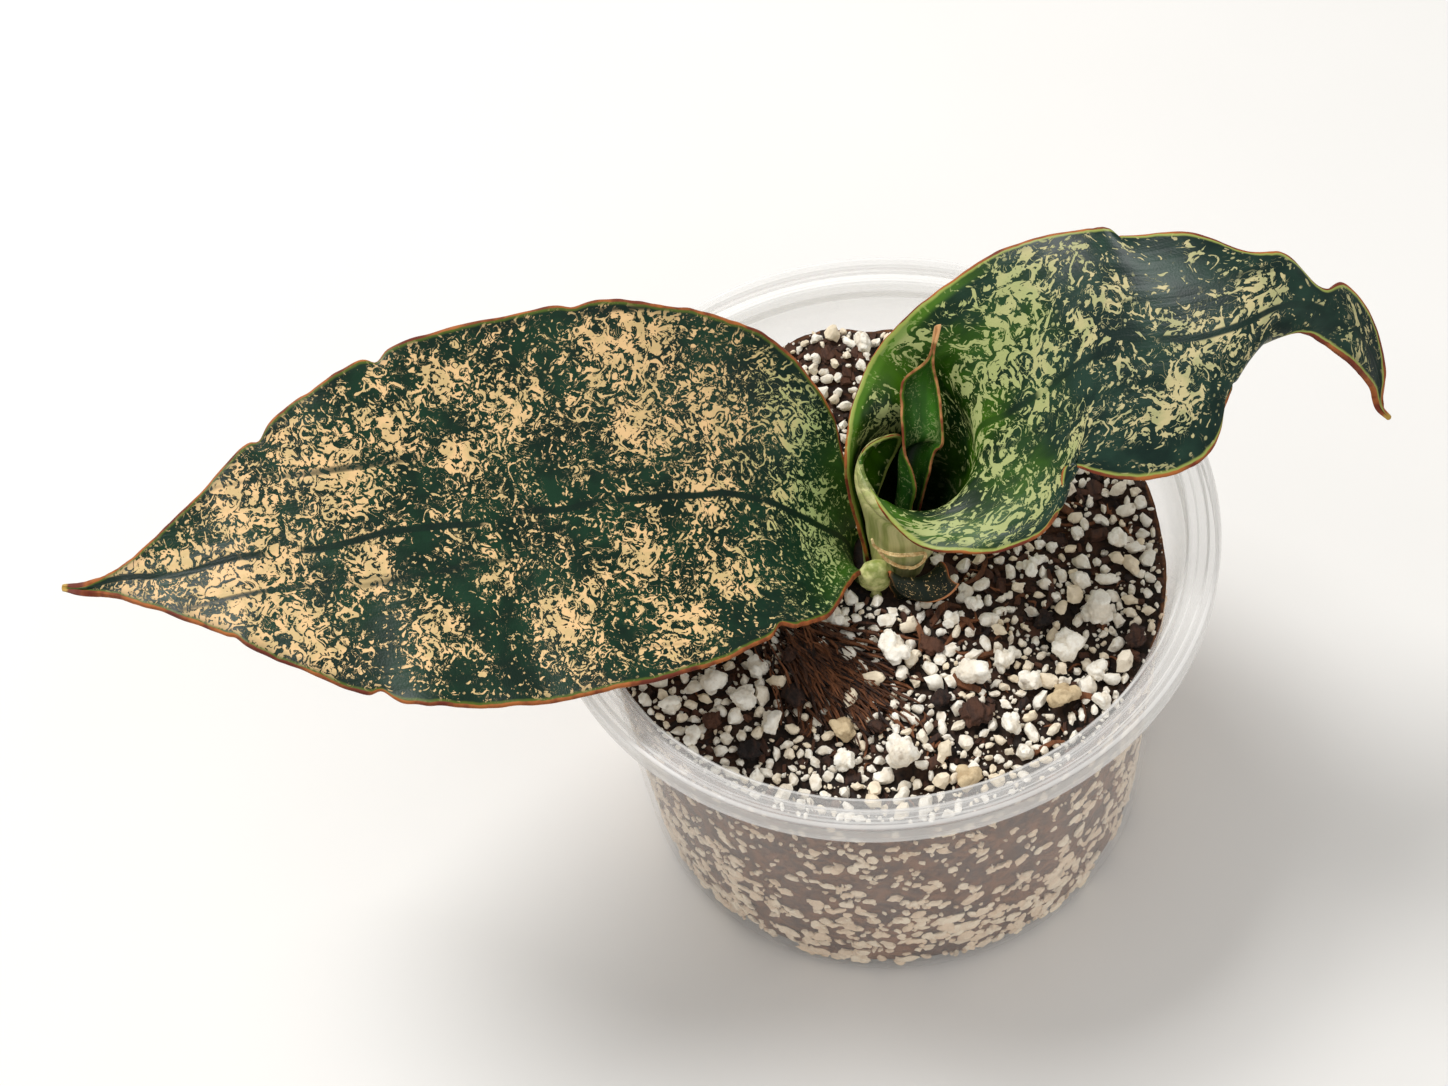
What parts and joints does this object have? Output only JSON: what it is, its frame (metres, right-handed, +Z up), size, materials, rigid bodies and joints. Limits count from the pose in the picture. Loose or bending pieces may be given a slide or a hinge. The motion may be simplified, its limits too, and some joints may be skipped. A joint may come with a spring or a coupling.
{
  "type": "potted snake plant",
  "caption": "Young snake plant with a broad flat mottled leaf and a rolled arching leaf, rooted in a clear plastic tub of gritty potting mix.",
  "frame": {"origin": "centre of the flat underside of the tub, where it stands", "axes": "+Z up along the tub's axis, +X to the right with the rolled leaf, +Y to the back; the broad flat leaf points towards -X"},
  "size_m": [0.2227, 0.117, 0.1199],
  "materials": {
    "clear_plastic": "clear slightly cloudy moulded plastic",
    "potting_mix": "damp dark brown bark and fibre mix",
    "rhizome": "pale yellow-green waxy skin",
    "leaf": "waxy dark green skin with pale mottling and a thin brown margin",
    "young_leaf": "waxy fresh green skin with a brown margin",
    "old_leaf": "dull olive skin with a papery edge",
    "dry_sheath": "dry papery beige strips",
    "perlite": "rough matt white grain",
    "pumice": "rough matt tan grain",
    "bark": "dark flaky bark"
  },
  "bodies": {
    "root": {"bark_chip_01": "bark", "bark_chip_02": "bark", "bark_chip_03": "bark", "bark_chip_04": "bark", "bark_chip_05": "bark", "bark_chip_06": "bark", "bark_chip_07": "bark", "bark_chip_08": "bark", "bark_chip_09": "bark", "bark_chip_10": "bark", "bark_chip_11": "bark", "dry_sheath_lower": "dry_sheath", "dry_sheath_upper": "dry_sheath", "leaf_left": "leaf", "leaf_right": "leaf", "old_leaf_stub": "old_leaf", "perlite_01": "perlite", "perlite_02": "perlite", "perlite_03": "perlite", "perlite_04": "perlite", "perlite_05": "perlite", "perlite_06": "perlite", "perlite_07": "perlite", "perlite_08": "perlite", "perlite_09": "perlite", "perlite_10": "perlite", "perlite_11": "perlite", "perlite_12": "perlite", "perlite_13": "perlite", "perlite_14": "perlite", "perlite_15": "perlite", "perlite_16": "perlite", "perlite_17": "perlite", "perlite_18": "perlite", "perlite_19": "perlite", "perlite_20": "perlite", "perlite_21": "perlite", "perlite_22": "perlite", "perlite_23": "perlite", "perlite_24": "perlite", "perlite_25": "perlite", "pot": "clear_plastic", "pumice_01": "pumice", "pumice_02": "pumice", "pumice_03": "pumice", "rhizome": "rhizome", "soil_mix": "potting_mix", "young_leaf": "young_leaf"}
  },
  "joints": []
}
